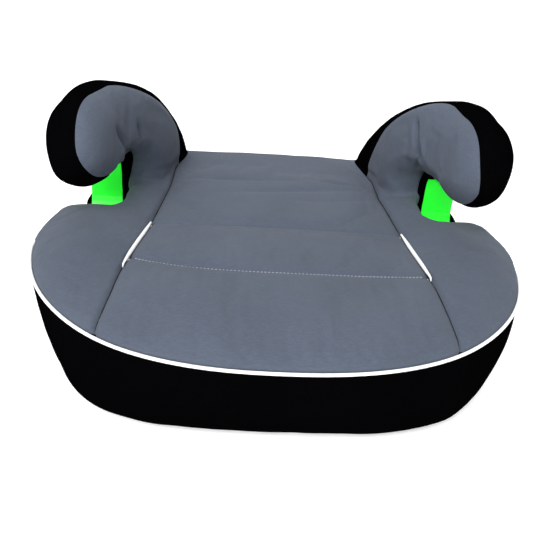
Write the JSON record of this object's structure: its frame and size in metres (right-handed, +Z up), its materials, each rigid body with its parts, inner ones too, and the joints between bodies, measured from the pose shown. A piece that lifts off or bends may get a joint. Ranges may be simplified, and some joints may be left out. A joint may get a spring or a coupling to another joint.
{
  "type": "booster seat",
  "caption": "Backless child booster seat with a quilted grey cover, black skirt, white piping, hooked armrests over lap belt guides, and pull-out anchor connectors.",
  "frame": {"origin": "on the resting plane, under the middle of the seat", "axes": "+X to the right seen from the front, +Y towards the back, +Z up"},
  "size_m": [0.4422, 0.3859, 0.224],
  "materials": {
    "cover_grey": "woven melange, matt",
    "cover_black": "woven, matt",
    "piping_white": "woven tape over cord",
    "guide_green": "satin moulded",
    "shell_plastic": "fine texture",
    "foam": "open-cell foam",
    "foot_rubber": "matt",
    "elastic": "braided",
    "screw_steel": "zinc plated",
    "connector_steel": "zinc plated"
  },
  "bodies": {
    "seat": {"seat_shell": "shell_plastic", "base_tray": "shell_plastic", "rubber_feet": "foot_rubber", "tray_screws": "screw_steel", "connector_rail_left": "shell_plastic", "connector_rail_right": "shell_plastic", "rail_screws": "screw_steel", "armrest_core_left": "shell_plastic", "armrest_core_right": "shell_plastic", "armrest_screws": "screw_steel", "belt_guide_left": "guide_green", "belt_guide_right": "guide_green", "guide_screws": "screw_steel", "seat_foam": "foam", "armrest_foam_left": "foam", "armrest_foam_right": "foam", "seat_panel_front": "cover_grey", "seat_panel_middle": "cover_grey", "seat_panel_rear": "cover_grey", "side_panel_left": "cover_grey", "side_panel_right": "cover_grey", "armrest_sleeve_left": "cover_black", "armrest_sleeve_right": "cover_black", "skirt": "cover_black", "edge_piping": "piping_white", "seam_piping_left": "piping_white", "seam_piping_right": "piping_white", "slot_binding_left": "cover_black", "slot_binding_right": "cover_black", "hem_elastic": "elastic"},
    "connectors": {"connector_arm_left": "connector_steel", "connector_arm_right": "connector_steel", "connector_crossbar": "connector_steel", "jaw_pin_left": "connector_steel", "jaw_pin_right": "connector_steel", "jaw_spring_left": "connector_steel", "jaw_spring_right": "connector_steel"},
    "jaw_left": {"connector_jaw_left": "connector_steel"},
    "jaw_right": {"connector_jaw_right": "connector_steel"},
    "button_left": {"release_button_left": "guide_green"},
    "button_right": {"release_button_right": "guide_green"}
  },
  "joints": [
    {"name": "connector_slide", "type": "slide", "parent": "seat", "child": "connectors", "axis": [0, 1, 0], "range_m": [0, 0.09]},
    {"name": "button_press_left", "type": "slide", "parent": "connectors", "child": "button_left", "axis": [0, 0, -1], "range_m": [0, 0.0045], "stiffness_N_per_m": 400, "springref_m": -0.002},
    {"name": "button_press_right", "type": "slide", "parent": "connectors", "child": "button_right", "axis": [0, 0, -1], "range_m": [0, 0.0045], "stiffness_N_per_m": 400, "springref_m": -0.002},
    {"name": "jaw_swing_left", "type": "hinge", "parent": "connectors", "child": "jaw_left", "pos_m": [-0.14, 0.148, 0.029], "axis": [1, 0, 0], "range_deg": [0, 18]},
    {"name": "jaw_swing_right", "type": "hinge", "parent": "connectors", "child": "jaw_right", "pos_m": [0.14, 0.148, 0.029], "axis": [1, 0, 0], "range_deg": [0, 18]}
  ],
  "couplings": [
    {"joint": "jaw_swing_left", "follows": "button_press_left", "rad_per_m": 69.8},
    {"joint": "jaw_swing_right", "follows": "button_press_right", "rad_per_m": 69.8}
  ]
}
